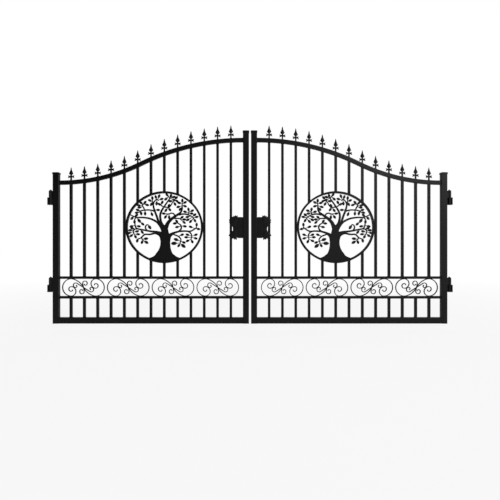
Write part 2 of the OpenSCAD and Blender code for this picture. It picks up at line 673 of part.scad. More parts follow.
// S-shaped bar, alike when turned half round: a straight run through the middle, if any, that goes
// over into a chain of bends at both ends
module s_bar(heading, run, radii, turns) {
    start = [run * cos(heading), run * sin(heading), heading];
    half = [start, each chain_places(start, radii, turns)];
    last = len(half) - 1;
    first = run > 0 ? 0 : 1;
    path = [for (i = [last : -1 : first]) [-half[i][0], -half[i][1], half[i][2]], each half];
    edges = [for (side = [-1, 1]) [
        for (place = path) flat(place) + side * scroll_bar_t / 2 * [-sin(place[2]), cos(place[2])]
    ]];
    polygon([each edges[0], for (i = [len(path) - 1 : -1 : 0]) edges[1][i]]);
    for (side = [-1, 1]) translate(side * flat(half[last])) circle(scroll_bar_t * bar_end_share);
}

// One scroll: a bar with large spirals, one with curls and one with buds
module scroll() {
    s_bar(
        bow_heading, 0, [bow_r, loop_r, each loop_r * coil_shares],
        [loop_heading - bow_heading, 360 - loop_heading, each coil_turns]
    );
    s_bar(curl_heading, curl_run, loop_r * curl_shares, curl_turns);
    s_bar(bud_heading, loop_r * bud_run_share, loop_r * bud_shares, bud_turns);
}

// Row of scrolls, flattened where they are welded to the band rails
module scrolls() {
    color([0.10, 0.10, 0.11]) for (i = [0 : scroll_n - 1])
        translate([inner_x + scroll_start + scroll_w / 2 + i * scroll_pitch, 0, band_floor_z + loop_r])
        plate(scroll_bar_d) intersection() {
            scroll();
            translate([-scroll_w, -loop_r]) square([2 * scroll_w, band_clear_h]);
        }
}

module medallion_ring() {
    color([0.10, 0.10, 0.11]) translate([ring_x, 0, ring_z]) plate(picket_w) difference() {
        oval(0);
        oval(ring_band);
    }
}

// Smooth curve through a limb's places
function spline(a, b, c, d, t) = 0.5 * (
    2 * b + (c - a) * t + (2 * a - 5 * b + 4 * c - d) * t * t + (3 * b - a - 3 * c + d) * t * t * t
);

function limb_path(places) = let (last = len(places) - 1) [
    for (i = [0 : last - 1], s = [0 : limb_steps - 1]) spline(
        places[max(i - 1, 0)], places[i], places[i + 1], places[min(i + 2, last)], s / limb_steps
    ),
    places[last]
];

// Place of a share on the tree plate, with its breadth
function tree_place(share) = [share[0] * ring_half_w, share[1] * ring_half_h, share[2] * ring_half_w];

// Points on one side of a limb's path
function limb_edge(path, side) = let (last = len(path) - 1) [
    for (i = [0 : last])
        let (
            along = flat(path[min(i + 1, last)]) - flat(path[max(i - 1, 0)]),
            across = [-along[1], along[0]] / norm(along)
        ) flat(path[i]) + side * across * path[i][2] / 2
];

module limb(shares) {
    path = limb_path([for (share = shares) tree_place(share)]);
    left_edge = limb_edge(path, 1);
    right_edge = limb_edge(path, -1);
    tip = path[len(path) - 1];
    polygon([each right_edge, for (i = [len(path) - 1 : -1 : 0]) left_edge[i]]);
    translate(flat(tip)) circle(tip[2] * limb_tip_share);
}

// Pointed leaf on its stalk
module tree_leaf(shares) {
    middle = [shares[0] * ring_half_w, shares[1] * ring_half_h];
    foot = [shares[2] * ring_half_w, shares[3] * ring_half_h];
    reach = middle - foot;
    size = len(shares) > 4 ? shares[4] : 1;
    translate(foot) rotate(atan2(reach[1], reach[0])) {
        translate([0, -stalk_w / 2]) square([norm(reach), stalk_w]);
        translate([norm(reach) - size * leaf_l / 2, 0]) lens(size * leaf_l, size * leaf_w);
    }
}

// Flat tree of life, trimmed to the inside of the ring that it is welded to
module tree_of_life() {
    color([0.08, 0.08, 0.09]) translate([ring_x, 0, ring_z]) plate(tree_t) intersection() {
        union() {
            for (shares = limb_shares) limb(shares);
            for (shares = leaf_shares) tree_leaf(shares);
        }
        oval(ring_band);
    }
}

// Plain part of the lock next to the stile, with bulged ends
module lock_case_outline() {
    case_w = lock_w * lock_case_share;
    bulge = lock_h * lock_bulge_share;
    end_r = (case_w * case_w / 4 + bulge * bulge) / (2 * bulge);
    translate([0, -lock_h / 4]) square([case_w, lock_h / 2]);
    for (side = [-1, 1]) intersection() {
        translate([0, side > 0 ? 0 : -lock_h]) square([case_w, lock_h]);
        translate([case_w / 2, side * (lock_h / 2 - end_r)]) circle(end_r);
    }
}

// Place on the lock, from the stile's side and the lock's middle
function lock_place(shares) = [shares[0] * lock_w, shares[1] * lock_h / 2];

// Two fans of leaf lobes that spread over the last picket, each on a round boss
module lock_lobes() {
    for (fan = [[upper_root_shares, upper_tip_shares], [lower_root_shares, lower_tip_shares]]) {
        root = lock_place(fan[0]);
        translate(root) circle(lock_w * lobe_boss_share);
        for (tip_shares = fan[1]) {
            tip = lock_place(tip_shares);
            lens_between(root + (tip - root) * lobe_start_share, tip, lock_w * lobe_w_share);
        }
    }
}

// Cover plate outline: plain body with a lens-shaped slit beside the picket
module lock_plate_outline() {
    body_h = lock_h * lock_body_h_share;
    lock_case_outline();
    difference() {
        translate([0, -body_h / 2]) square([lock_w, body_h]);
        translate([lock_w * slit_x_share, lock_h * (slit_z_share - slit_h_share / 2)]) rotate(90)
            lens(lock_h * slit_h_share, lock_w * slit_w_share);
    }
}

module at_lock() {
    translate([inner_end_x, 0, lock_z]) mirror([1, 0, 0]) children();
}

module lock_case() {
    color([0.08, 0.08, 0.09]) at_lock() plate(lock_case_d) lock_case_outline();
}

// Cover plates on both faces of the lock case and the last picket
module lock_plates() {
    color([0.10, 0.10, 0.11]) at_lock() for (face = [-1, 1])
        translate([0, face * (lock_case_d + lock_plate_t) / 2, 0]) plate(lock_plate_t) lock_plate_outline();
}

// Cast leaves on both cover plates
module lock_leaves() {
    color([0.12, 0.12, 0.13]) at_lock() for (face = [-1, 1])
        translate([0, face * (lock_case_d / 2 + lock_plate_t + lock_leaf_t / 2), 0])
        plate(lock_leaf_t) lock_lobes();
}

left_side() hinge_pins();  // left_hinge_pins
right_side() hinge_pins();  // right_hinge_pins
left_side() hinge_barrels();  // left_hinge_barrels
left_side() hinge_stile();  // left_hinge_stile
left_side() meeting_stile();  // left_meeting_stile
left_side() stile_caps();  // left_stile_caps
left_side() bottom_rail();  // left_bottom_rail
left_side() top_rail_sweep();  // left_top_rail_sweep
left_side() top_rail_crown();  // left_top_rail_crown
left_side() band_lower_rail();  // left_band_lower_rail
left_side() band_upper_rail();  // left_band_upper_rail
left_side() low_pickets();  // left_low_pickets
left_side() full_pickets();  // left_full_pickets
left_side() upper_pickets();  // left_upper_pickets
left_side() middle_pickets();  // left_middle_pickets
left_side() finials();  // left_finials
left_side() scrolls();  // left_scrolls
left_side() medallion_ring();  // left_medallion_ring
left_side() tree_of_life();  // left_tree_of_life
left_side() lock_case();  // left_lock_case
left_side() lock_plates();  // left_lock_plates
left_side() lock_leaves();  // left_lock_leaves
right_side() hinge_barrels();  // right_hinge_barrels
right_side() hinge_stile();  // right_hinge_stile
right_side() meeting_stile();  // right_meeting_stile
right_side() stile_caps();  // right_stile_caps
right_side() bottom_rail();  // right_bottom_rail
right_side() top_rail_sweep();  // right_top_rail_sweep
right_side() top_rail_crown();  // right_top_rail_crown
right_side() band_lower_rail();  // right_band_lower_rail
right_side() band_upper_rail();  // right_band_upper_rail
right_side() low_pickets();  // right_low_pickets
right_side() full_pickets();  // right_full_pickets
right_side() upper_pickets();  // right_upper_pickets
right_side() middle_pickets();  // right_middle_pickets
right_side() finials();  // right_finials
right_side() scrolls();  // right_scrolls
right_side() medallion_ring();  // right_medallion_ring
right_side() tree_of_life();  // right_tree_of_life
right_side() lock_case();  // right_lock_case
right_side() lock_plates();  // right_lock_plates
right_side() lock_leaves();  // right_lock_leaves
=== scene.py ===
import json
import math

import bmesh
import bpy
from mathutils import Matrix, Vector
from mathutils.bvhtree import BVHTree
from mathutils.geometry import tessellate_polygon


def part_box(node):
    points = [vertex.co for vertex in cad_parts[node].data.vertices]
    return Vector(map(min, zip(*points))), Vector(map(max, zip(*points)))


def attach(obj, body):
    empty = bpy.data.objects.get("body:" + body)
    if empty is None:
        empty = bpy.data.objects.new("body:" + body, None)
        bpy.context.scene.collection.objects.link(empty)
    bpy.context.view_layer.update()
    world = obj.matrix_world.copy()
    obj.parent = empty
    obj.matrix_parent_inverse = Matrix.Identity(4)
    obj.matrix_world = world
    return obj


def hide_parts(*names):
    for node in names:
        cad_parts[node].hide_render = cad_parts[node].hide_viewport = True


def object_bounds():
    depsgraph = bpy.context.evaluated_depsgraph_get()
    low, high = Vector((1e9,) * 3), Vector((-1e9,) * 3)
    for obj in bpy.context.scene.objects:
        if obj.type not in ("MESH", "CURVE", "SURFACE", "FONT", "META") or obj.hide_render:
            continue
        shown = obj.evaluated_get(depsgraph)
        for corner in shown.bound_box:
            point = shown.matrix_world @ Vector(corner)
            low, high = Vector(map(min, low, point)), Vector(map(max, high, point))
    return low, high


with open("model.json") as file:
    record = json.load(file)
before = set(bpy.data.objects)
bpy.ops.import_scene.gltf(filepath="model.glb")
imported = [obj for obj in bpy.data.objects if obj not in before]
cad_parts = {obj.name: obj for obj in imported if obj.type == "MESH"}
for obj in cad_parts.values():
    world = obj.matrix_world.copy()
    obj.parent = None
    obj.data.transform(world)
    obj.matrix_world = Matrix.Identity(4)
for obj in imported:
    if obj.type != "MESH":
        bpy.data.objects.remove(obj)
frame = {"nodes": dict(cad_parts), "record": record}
cad_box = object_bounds()

# Places read from the frame, in metres; the pieces are made for the left leaf and mirrored
LOW, HIGH = cad_box
MIDDLE_X = (LOW.x + HIGH.x) / 2
BASE_Z = LOW.z
FRONT_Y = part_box("left_bottom_rail")[0].y
INNER_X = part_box("left_hinge_stile")[1].x
INNER_END_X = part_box("left_meeting_stile")[0].x
INNER_W = INNER_END_X - INNER_X
RAIL_TOP_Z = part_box("left_bottom_rail")[1].z
BAND_Z, BAND_FLOOR_Z = (corner.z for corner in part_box("left_band_lower_rail"))
BAND_TOP_Z, INFILL_Z = (corner.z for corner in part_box("left_band_upper_rail"))
PICKET_W = INFILL_Z - BAND_TOP_Z

PICKET_N = 13
FIRST_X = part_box("left_low_pickets")[0].x + PICKET_W / 2
PITCH = (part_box("left_low_pickets")[1].x - PICKET_W / 2 - FIRST_X) / (PICKET_N - 1)
PICKET_XS = [FIRST_X + i * PITCH for i in range(PICKET_N)]

RING_I = 7
RING_REACH = 3
RING_LOW, RING_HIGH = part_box("left_medallion_ring")
RING_X, RING_Z = (RING_LOW.x + RING_HIGH.x) / 2, (RING_LOW.z + RING_HIGH.z) / 2
RING_HALF_W, RING_HALF_H = (RING_HIGH.x - RING_LOW.x) / 2, (RING_HIGH.z - RING_LOW.z) / 2
OVAL_END_SHARE = 0.94

TOP_RAIL_H = 0.042
TOP_BEND_SHARE = 0.44
TOP_LOW_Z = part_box("left_top_rail_sweep")[0].z + TOP_RAIL_H
TOP_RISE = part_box("left_top_rail_crown")[1].z - TOP_LOW_Z

SCROLL_N = 4
SCROLL_GAP = 0.023
SCROLL_BAR_T = 0.008
SCROLL_BAR_D = 0.012
STEM_W, STEM_D = 0.014, 0.010

HINGE_SPACING = 0.863
TURNING_BARREL_H, FIXED_BARREL_H = 0.065, 0.072
NECK_W = 0.026
POST_PAD_T = 0.006
STILE_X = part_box("left_hinge_stile")[0].x

FLOOR_GAP = 0.06
JOIN_DISTANCE = 1e-6
MIRRORED = {"left": False, "right": True}


# Shapes

class Shape:
    """Points and faces of one piece, gathered from many small forms."""

    def __init__(self):
        self.points = []
        self.faces = []

    def skin(self, rings, closed=False, capped=True):
        """Lofts a skin over a row of rings that have equal numbers of points."""
        base, n = len(self.points), len(rings[0])
        for ring in rings:
            self.points.extend(ring)
        count = len(rings)
        for i in range(count if closed else count - 1):
            a, b = base + i * n, base + (i + 1) % count * n
            for j in range(n):
                k = (j + 1) % n
                self.faces.append((a + j, a + k, b + k, b + j))
        if capped and not closed:
            self.faces.append(tuple(reversed(range(base, base + n))))
            self.faces.append(tuple(range(base + (count - 1) * n, base + count * n)))

    def fill(self, loops):
        """Fills a flat outline that may have holes."""
        base = len(self.points)
        for loop in loops:
            self.points.extend(loop)
        self.faces.extend(tuple(base + i for i in triangle) for triangle in tessellate_polygon(loops))


def place_piece(name, work, body, slot, smooth_angle):
    """Makes a piece of finished mesh work, coats it and lets it ride on a body."""
    mesh = bpy.data.meshes.new(name)
    work.to_mesh(mesh)
    work.free()
    if mesh.has_custom_normals:
        mesh.attributes.remove(mesh.attributes["custom_normal"])
    mesh.shade_smooth()
    mesh.set_sharp_from_angle(angle=math.radians(smooth_angle))
    mesh.materials.append(COATS[slot])
    piece = bpy.data.objects.new(name, mesh)
    bpy.context.scene.collection.objects.link(piece)
    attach(piece, body)
    return piece


def mesh_work(mesh):
    """Mesh opened for work, with the points that lie on each other joined."""
    work = bmesh.new()
    work.from_mesh(mesh)
    bmesh.ops.remove_doubles(work, verts=work.verts, dist=JOIN_DISTANCE)
    return work


def add_piece(name, shape, body, slot, mirrored=False, smooth_angle=60):
    """Makes a piece of a shape, in the left hand place or in the mirrored one."""
    draft = bpy.data.meshes.new(name + "_draft")
    points = [(2 * MIDDLE_X - p.x if mirrored else p.x, p.y, p.z) for p in shape.points]
    draft.from_pydata(points, [], shape.faces)
    work = mesh_work(draft)
    bpy.data.meshes.remove(draft)
    bmesh.ops.recalc_face_normals(work, faces=work.faces)
    return place_piece(name, work, body, slot, smooth_angle)


# Curves of the frame that pieces sit on

BEND_ANGLE = 2 * math.atan(TOP_RISE / INNER_W)
LOW_R = INNER_W * TOP_BEND_SHARE / math.sin(BEND_ANGLE)
HIGH_R = INNER_W * (1 - TOP_BEND_SHARE) / math.sin(BEND_ANGLE)


def rail_z(x, drop=0.0):
    """Height of the top rail's upper edge over a place, or of a line that runs below it."""
    if x < INNER_X + INNER_W * TOP_BEND_SHARE:
        return TOP_LOW_Z + LOW_R - math.sqrt((LOW_R + drop) ** 2 - (x - INNER_X) ** 2)
    return TOP_LOW_Z + TOP_RISE - HIGH_R + math.sqrt((HIGH_R - drop) ** 2 - (INNER_END_X - x) ** 2)


def oval_half_h(x):
    """Half height of the medallion's outer oval, four tangent arcs, at a distance from its middle."""
    end_r = OVAL_END_SHARE * RING_HALF_H
    spread = RING_HALF_W ** 2 - 2 * RING_HALF_W * end_r + RING_HALF_H ** 2
    flank_r = spread / (2 * (RING_HALF_H - end_r))
    end_x, flank_z = RING_HALF_W - end_r, flank_r - RING_HALF_H
    if abs(x) < end_x + end_r * math.cos(math.atan2(flank_z, end_x)):
        return math.sqrt(flank_r ** 2 - x ** 2) - flank_z
    return math.sqrt(end_r ** 2 - (abs(x) - end_x) ** 2)


# Weld beads

BEAD_R = 0.0032
BEAD_STEP = 0.004
BEAD_SIDES = 8
BEAD_RIPPLE = 0.13
BEAD_PHASE = 2.1
BEAD_END_SHARE = 0.2
BEAD_END_POWER = 6
BEAD_LEAST_STEPS = 2
BEAD_INSET = 0.004
RING_BEAD_L = 0.06
SCROLL_BEAD_L = 0.036


def along(places, i, closed):
    """Direction at one of a row of places, from the place before it to the one after it."""
    if closed:
        return places[(i + 1) % len(places)] - places[i - 1]
    return places[min(i + 1, len(places) - 1)] - places[max(i - 1, 0)]


def bead(shape, corners, up, closed=False):
    """Rippled weld bead along straight stretches; up is square to all of them."""
    corners = [Vector(c) for c in corners]
    places = []
    for a, b in zip(corners, corners[1:] + corners[:1] if closed else corners[1:]):
        steps = max(BEAD_LEAST_STEPS, round((b - a).length / BEAD_STEP))
        places.extend(a.lerp(b, i / steps) for i in range(steps))
    if not closed:
        places.append(corners[-1])
    up = Vector(up)
    last = len(places) - 1
    rings = []
    for i, place in enumerate(places):
        run = along(places, i, closed)
        side = run.cross(up).normalized()
        lift = side.cross(run).normalized()
        swell = BEAD_R * (1 + BEAD_RIPPLE * math.sin(i * BEAD_PHASE))
        if not closed:
            swell *= math.sqrt(1 + BEAD_END_SHARE ** 2 - (2 * i / last - 1) ** BEAD_END_POWER)
        rings.append([
            place + swell * (math.cos(t) * side + math.sin(t) * lift)
            for t in (2 * math.pi * j / BEAD_SIDES for j in range(BEAD_SIDES))
        ])
    shape.skin(rings, closed)


def bead_across(shape, x, z, depth):
    """Bead through the depth of the leaf, in the corner between two pieces."""
    bead(shape, [(x, -depth / 2, z), (x, depth / 2, z)], (0, 0, 1))


def bead_round(shape, x, w, d, height):
    """Bead round a foot that stands on a face whose height depends on the place."""
    corners = [(-1, -1), (1, -1), (1, 1), (-1, 1)]
    places = [(x + i * w / 2, j * d / 2, height(x + i * w / 2)) for i, j in corners]
    bead(shape, places, (0, 0, 1), closed=True)


def bead_round_end(shape, x, low_z, high_z, depth):
    """Bead round the end of a rail that meets a stile."""
    y = depth / 2
    bead(shape, [(x, -y, low_z), (x, y, low_z), (x, y, high_z), (x, -y, high_z)], (1, 0, 0), closed=True)


def weld_frame(shape):
    """Rails to stiles."""
    for x in (INNER_X, INNER_END_X):
        bead_across(shape, x, RAIL_TOP_Z, 2 * abs(FRONT_Y))
        bead_round_end(shape, x, BAND_Z, BAND_FLOOR_Z, PICKET_W)
        bead_round_end(shape, x, BAND_TOP_Z, INFILL_Z, PICKET_W)
        bead_round_end(shape, x, rail_z(x, TOP_RAIL_H), rail_z(x), PICKET_W)


def weld_pickets(shape):
    """Pickets to rails and to the medallion, and finials to the top rail."""
    for i, middle in enumerate(PICKET_XS):
        bead_round(shape, middle, PICKET_W, PICKET_W, lambda x: RAIL_TOP_Z)
        bead_round(shape, middle, STEM_W, STEM_D, rail_z)
        for x in (middle - PICKET_W / 2, middle + PICKET_W / 2):
            bead_across(shape, x, BAND_Z, PICKET_W)
            bead_across(shape, x, INFILL_Z, PICKET_W)
            bead_across(shape, x, rail_z(x, TOP_RAIL_H), PICKET_W)
            if abs(i - RING_I) < RING_REACH:
                rise = oval_half_h(x - RING_X)
                bead_across(shape, x, RING_Z + rise, PICKET_W)
                bead_across(shape, x, RING_Z - rise, PICKET_W)


def weld_medallion(shape):
    """Medallion to the pickets at its two sides, on both faces."""
    low_z, high_z = RING_Z - RING_BEAD_L / 2, RING_Z + RING_BEAD_L / 2
    for x in (RING_LOW.x, RING_HIGH.x):
        for y in (RING_LOW.y, RING_HIGH.y):
            bead(shape, [(x, y, low_z), (x, y, high_z)], (0, 1, 0))


def weld_scrolls(shape):
    """Scroll loops to the band rails, on both faces of the bar."""
    half_l = SCROLL_BEAD_L / 2
    for middle in scroll_middles():
        for x in (middle - LOOP_X, middle + LOOP_X):
            for z in (BAND_FLOOR_Z, BAND_TOP_Z):
                for y in (-SCROLL_BAR_D / 2, SCROLL_BAR_D / 2):
                    bead(shape, [(x - half_l, y, z), (x + half_l, y, z)], (0, 1, 0))


def weld_hinges(shape, node, x, barrel_h):
    """Hinge necks to the faces that carry them: two upright beads at each hinge."""
    low_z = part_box(node)[0].z
    for z in (low_z, low_z + HINGE_SPACING):
        for y in (-NECK_W / 2, NECK_W / 2):
            bead(shape, [(x, y, z + BEAD_INSET), (x, y, z + barrel_h - BEAD_INSET)], (0, 1, 0))


def leaf_welds():
    """All beads of a leaf."""
    shape = Shape()
    weld_frame(shape)
    weld_pickets(shape)
    weld_medallion(shape)
    weld_scrolls(shape)
    weld_hinges(shape, "left_hinge_barrels", STILE_X, TURNING_BARREL_H)
    return shape


def post_welds():
    """Beads of the hinge halves that stay with the post."""
    shape = Shape()
    weld_hinges(shape, "left_hinge_pins", LOW.x + POST_PAD_T, FIXED_BARREL_H)
    return shape


# Scroll bars

SCROLL_LOW, SCROLL_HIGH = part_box("left_scrolls")
SCROLL_W = (SCROLL_HIGH.x - SCROLL_LOW.x - (SCROLL_N - 1) * SCROLL_GAP) / SCROLL_N
LOOP_R = (BAND_TOP_Z - BAND_FLOOR_Z) / 2
LOOP_X = SCROLL_W / 2 - LOOP_R - SCROLL_BAR_T / 2
BOW_SHARE = 0.62
COIL_SHARES, COIL_TURNS = [0.547, 0.277, 0.146], [180, 180, 100]
CURL_SHARES, CURL_CENTRE_SHARES, CURL_TURN = [0.27, 0.146], [0.518, 0.258], 150
BUD_SHARES, BUD_TURNS, BUD_HEADING, BUD_RUN_SHARE = [0.263, 0.146], [-240, -120], 101, 0.44
STEP_L = 0.004
BEND_LEAST_STEPS = 6
BAR_EDGE_R = 0.0016
BAR_EDGE_PARTS = 2
# How far a bar's end reaches, and how thick it is there: shares of the half and of the whole thickness
BAR_END_SHARES = [(1.0, 0.2), (0.85, 0.55), (0.5, 0.87)]


def scroll_middles():
    """Middles of the scrolls along the band."""
    return [SCROLL_LOW.x + SCROLL_W / 2 + i * (SCROLL_W + SCROLL_GAP) for i in range(SCROLL_N)]


def bend_places(start, r, turn):
    """Places and headings along one bend; a turn to the left is positive."""
    x, z, heading = start
    side = 1 if turn > 0 else -1
    centre_x, centre_z = x - side * r * math.sin(heading), z + side * r * math.cos(heading)
    steps = max(BEND_LEAST_STEPS, math.ceil(abs(turn) * r / STEP_L))
    headings = [heading + turn * (i + 1) / steps for i in range(steps)]
    return [(centre_x + side * r * math.sin(h), centre_z - side * r * math.cos(h), h) for h in headings]


def s_bar_places(heading, run, radii, turns):
    """Middle line of a bar that looks the same when turned half round."""
    half = [(run * math.cos(heading), run * math.sin(heading), heading)]
    for r, turn in zip(radii, turns):
        half.extend(bend_places(half[-1], r, turn))
    first = 0 if run > 0 else 1
    return [(-x, -z, h) for x, z, h in reversed(half[first:])] + half


def bar_section():
    """Rounded cross-section of the bar: distances across the bend and through the depth."""
    across, deep = SCROLL_BAR_T / 2 - BAR_EDGE_R, SCROLL_BAR_D / 2 - BAR_EDGE_R
    section = []
    for quarter, (i, j) in enumerate([(1, 1), (-1, 1), (-1, -1), (1, -1)]):
        for part in range(BAR_EDGE_PARTS + 1):
            t = math.pi / 2 * (quarter + part / BAR_EDGE_PARTS)
            section.append((i * across + BAR_EDGE_R * math.cos(t), j * deep + BAR_EDGE_R * math.sin(t)))
    return section


def add_bar(shape, places, middle_x):
    """Sweeps the bar's section along its places, with rounded ends and flats at the band rails."""
    section = bar_section()
    half_t = SCROLL_BAR_T / 2
    x, z, h = places[0]
    stations = [(x, z, h, w, -half_t * out) for out, w in BAR_END_SHARES]
    stations += [(x, z, h, 1.0, 0.0) for x, z, h in places]
    x, z, h = places[-1]
    stations += [(x, z, h, w, half_t * out) for out, w in reversed(BAR_END_SHARES)]
    mid_z = (BAND_FLOOR_Z + BAND_TOP_Z) / 2
    rings = []
    for x, z, h, w, out in stations:
        ring = []
        for a, b in section:
            px = x + out * math.cos(h) - w * a * math.sin(h)
            pz = z + out * math.sin(h) + w * a * math.cos(h)
            ring.append(Vector((middle_x + px, b, min(max(mid_z + pz, BAND_FLOOR_Z), BAND_TOP_Z))))
        rings.append(ring)
    shape.skin(rings)


def large_bar_places():
    """Bowed bar that runs into a round loop and a spiral at both ends."""
    bow_sine = BOW_SHARE + (1 - BOW_SHARE) * LOOP_R / LOOP_X
    bow_heading = math.pi - math.asin(bow_sine)
    bow_r = (LOOP_X ** 2 - LOOP_R ** 2) / (2 * (LOOP_X * bow_sine - LOOP_R))
    centre_x, centre_z = -bow_r * math.sin(bow_heading), bow_r * math.cos(bow_heading)
    loop_heading = math.atan2(-centre_z, -LOOP_X - centre_x) + math.pi / 2
    loop_heading += 2 * math.pi if loop_heading < 0 else 0
    radii = [bow_r, LOOP_R] + [LOOP_R * share for share in COIL_SHARES]
    turns = [loop_heading - bow_heading, 2 * math.pi - loop_heading]
    return s_bar_places(bow_heading, 0, radii, turns + [math.radians(t) for t in COIL_TURNS])


def curl_bar_places():
    """Straight bar whose curled ends touch the spirals."""
    radii = [LOOP_R * share for share in CURL_SHARES]
    x, z = LOOP_R * CURL_CENTRE_SHARES[0] - LOOP_X, LOOP_R * CURL_CENTRE_SHARES[1]
    reach = math.hypot(x, z)
    heading = math.atan2(z, x) - math.asin(radii[0] / reach)
    run = math.sqrt(reach ** 2 - radii[0] ** 2)
    return s_bar_places(heading, run, radii, [2 * math.pi - heading, math.radians(CURL_TURN)])


def bud_bar_places():
    """Short bar with a bud at both ends."""
    radii = [LOOP_R * share for share in BUD_SHARES]
    turns = [math.radians(t) for t in BUD_TURNS]
    return s_bar_places(math.radians(BUD_HEADING), LOOP_R * BUD_RUN_SHARE, radii, turns)


def scroll_bars():
    """All scrolls of a leaf, of three bars each."""
    shape = Shape()
    bars = [large_bar_places(), curl_bar_places(), bud_bar_places()]
    for x in scroll_middles():
        for places in bars:
            add_bar(shape, places, x)
    return shape


# Lock covers and the cast leaves on them

LOCK_LOW, LOCK_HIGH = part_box("left_lock_plates")
LOCK_W = LOCK_HIGH.x - LOCK_LOW.x
CASE_LOW, CASE_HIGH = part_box("left_lock_case")
LOCK_H = CASE_HIGH.z - CASE_LOW.z
LOCK_Z = (CASE_HIGH.z + CASE_LOW.z) / 2
COVER_T = 0.003
COVER_BEVEL = 0.0008
CASE_SHARE, CASE_H_SHARE, BULGE_SHARE = 0.42, 1.02, 0.012
BODY_SHARE, BODY_H_SHARE, PICKET_H_SHARE = 0.80, 0.95, 0.80
SLIT_X_SHARE, SLIT_Z_SHARE = 0.81, -0.14
SLIT_W_SHARE, SLIT_H_SHARE = 0.12, 0.24
END_STEPS = 12
LOBE_W = 0.21 * LOCK_W
LOBE_END_W_SHARE, LOBE_WIDEST_POWER, LOBE_FULLNESS = 0.06, 1.7, 0.6
LOBE_H = 0.0042
LOBE_END_H_SHARE, LOBE_SHOULDER = 0.25, 1.1
LOBE_RIM_SHARE = 0.12
MIDRIB_SHARE, MIDRIB_W_SHARE = 0.3, 0.14
LOBE_SUNK = 0.0005
LOBE_STATIONS = 18
LOBE_POINTS = 13
# Base, root and tips of the two sprays: shares of the lock's width and half height
SPRAYS = [
    ((0.50, 0.02), (0.66, 0.40), [
        (0.41, 1.18), (0.54, 1.21), (0.67, 1.15), (0.79, 1.06), (0.90, 0.97), (1.05, 0.77), (1.05, 0.53),
    ]),
    ((0.50, -0.08), (0.68, -0.46), [
        (1.06, -0.82), (0.94, -0.98), (0.79, -1.08), (0.64, -1.17), (0.49, -1.20),
    ]),
]


def lock_place(share, y=0.0):
    """Place on the lock, from the stile's side and the lock's middle."""
    return Vector((INNER_END_X - share[0] * LOCK_W, y, LOCK_Z + share[1] * LOCK_H / 2))


def cover_outline():
    """Rim of a cover: a case with slightly bulged ends, and a body that narrows over the picket."""
    case = []
    for i in range(END_STEPS + 1):
        t = i / END_STEPS
        case.append((CASE_SHARE * t, CASE_H_SHARE - BULGE_SHARE * (2 * t - 1) ** 2))
    upper = case + [(CASE_SHARE, BODY_H_SHARE), (BODY_SHARE, BODY_H_SHARE), (1, PICKET_H_SHARE)]
    return [Vector((u, -v)) for u, v in upper] + [Vector(share) for share in reversed(upper)]


def slit_outline():
    """Rim of the slit beside the picket: a lens, the other way round from the cover's rim."""
    middle = Vector((SLIT_X_SHARE, SLIT_Z_SHARE))
    sweep = [math.pi * i / END_STEPS for i in range(END_STEPS)]
    right = [Vector((SLIT_W_SHARE / 2 * math.sin(t), SLIT_H_SHARE * math.cos(t))) for t in sweep]
    return [middle + share for share in right] + [middle - share for share in right]


def inset(outline, by):
    """Outline as shares, moved to its left by a length."""
    moved = []
    for i, share in enumerate(outline):
        run = along(outline, i, True)
        left = Vector((-run.y * LOCK_H / 2, run.x * LOCK_W)).normalized() * by
        moved.append(share + Vector((left.x / LOCK_W, left.y * 2 / LOCK_H)))
    return moved


def add_cover(shape, face):
    """Cover plate with a bevelled rim, on one face of the lock."""
    front_y = LOCK_LOW.y if face < 0 else LOCK_HIGH.y
    levels = [(0, front_y - face * COVER_T), (0, front_y - face * COVER_BEVEL), (COVER_BEVEL, front_y)]
    outlines = [cover_outline(), slit_outline()]
    for outline in outlines:
        rings = [[lock_place(share, y) for share in inset(outline, by)] for by, y in levels]
        shape.skin(rings, capped=False)
    for by, y in (levels[0], levels[-1]):
        shape.fill([[lock_place(share, y) for share in inset(outline, by)] for outline in outlines])


def lock_covers():
    """Covers on both faces of the lock."""
    shape = Shape()
    for face in (-1, 1):
        add_cover(shape, face)
    return shape


def lobe_size(t):
    """Half width and height of a leaf blade at a share of its length."""
    swell = math.sin(math.pi * t ** LOBE_WIDEST_POWER) ** LOBE_FULLNESS
    rise = math.sqrt(math.sin(math.pi * min(t * LOBE_SHOULDER, 1.0)))
    height = LOBE_H * (LOBE_END_H_SHARE + (1 - LOBE_END_H_SHARE) * rise)
    return LOBE_W / 2 * (LOBE_END_W_SHARE + swell), height


def lobe_rise(v, height):
    """Height over the plate at a share of the blade's half width: a dome less the midrib's groove."""
    dome = LOBE_RIM_SHARE + (1 - LOBE_RIM_SHARE) * math.sqrt(max(1 - v * v, 0))
    groove = MIDRIB_SHARE * math.exp(-(v / MIDRIB_W_SHARE) ** 2)
    return height * (dome - groove)


def add_lobe(shape, base, root, tip, face):
    """Domed leaf blade with a sunk midrib, along a bend from the spray's base to its tip."""
    plate_y = LOCK_LOW.y if face < 0 else LOCK_HIGH.y
    rings = []
    for i in range(LOBE_STATIONS + 1):
        t = i / LOBE_STATIONS
        place = (1 - t) ** 2 * base + 2 * t * (1 - t) * root + t ** 2 * tip
        run = ((1 - t) * (root - base) + t * (tip - root)).normalized()
        half_w, height = lobe_size(t)
        across = half_w * Vector((-run.z, 0, run.x))
        shares = [1 - 2 * j / (LOBE_POINTS - 1) for j in range(LOBE_POINTS)]
        top = [place + across * v + Vector((0, plate_y + face * lobe_rise(v, height), 0)) for v in shares]
        foot = [place + across * v + Vector((0, plate_y - face * LOBE_SUNK, 0)) for v in (-1, 1)]
        rings.append(top + foot)
    shape.skin(rings)


def lock_foliage():
    """Both sprays, on both faces of the lock."""
    shape = Shape()
    for base, root, tips in SPRAYS:
        for tip in tips:
            for face in (-1, 1):
                add_lobe(shape, lock_place(base), lock_place(root), lock_place(tip), face)
    return shape


# Tree plates

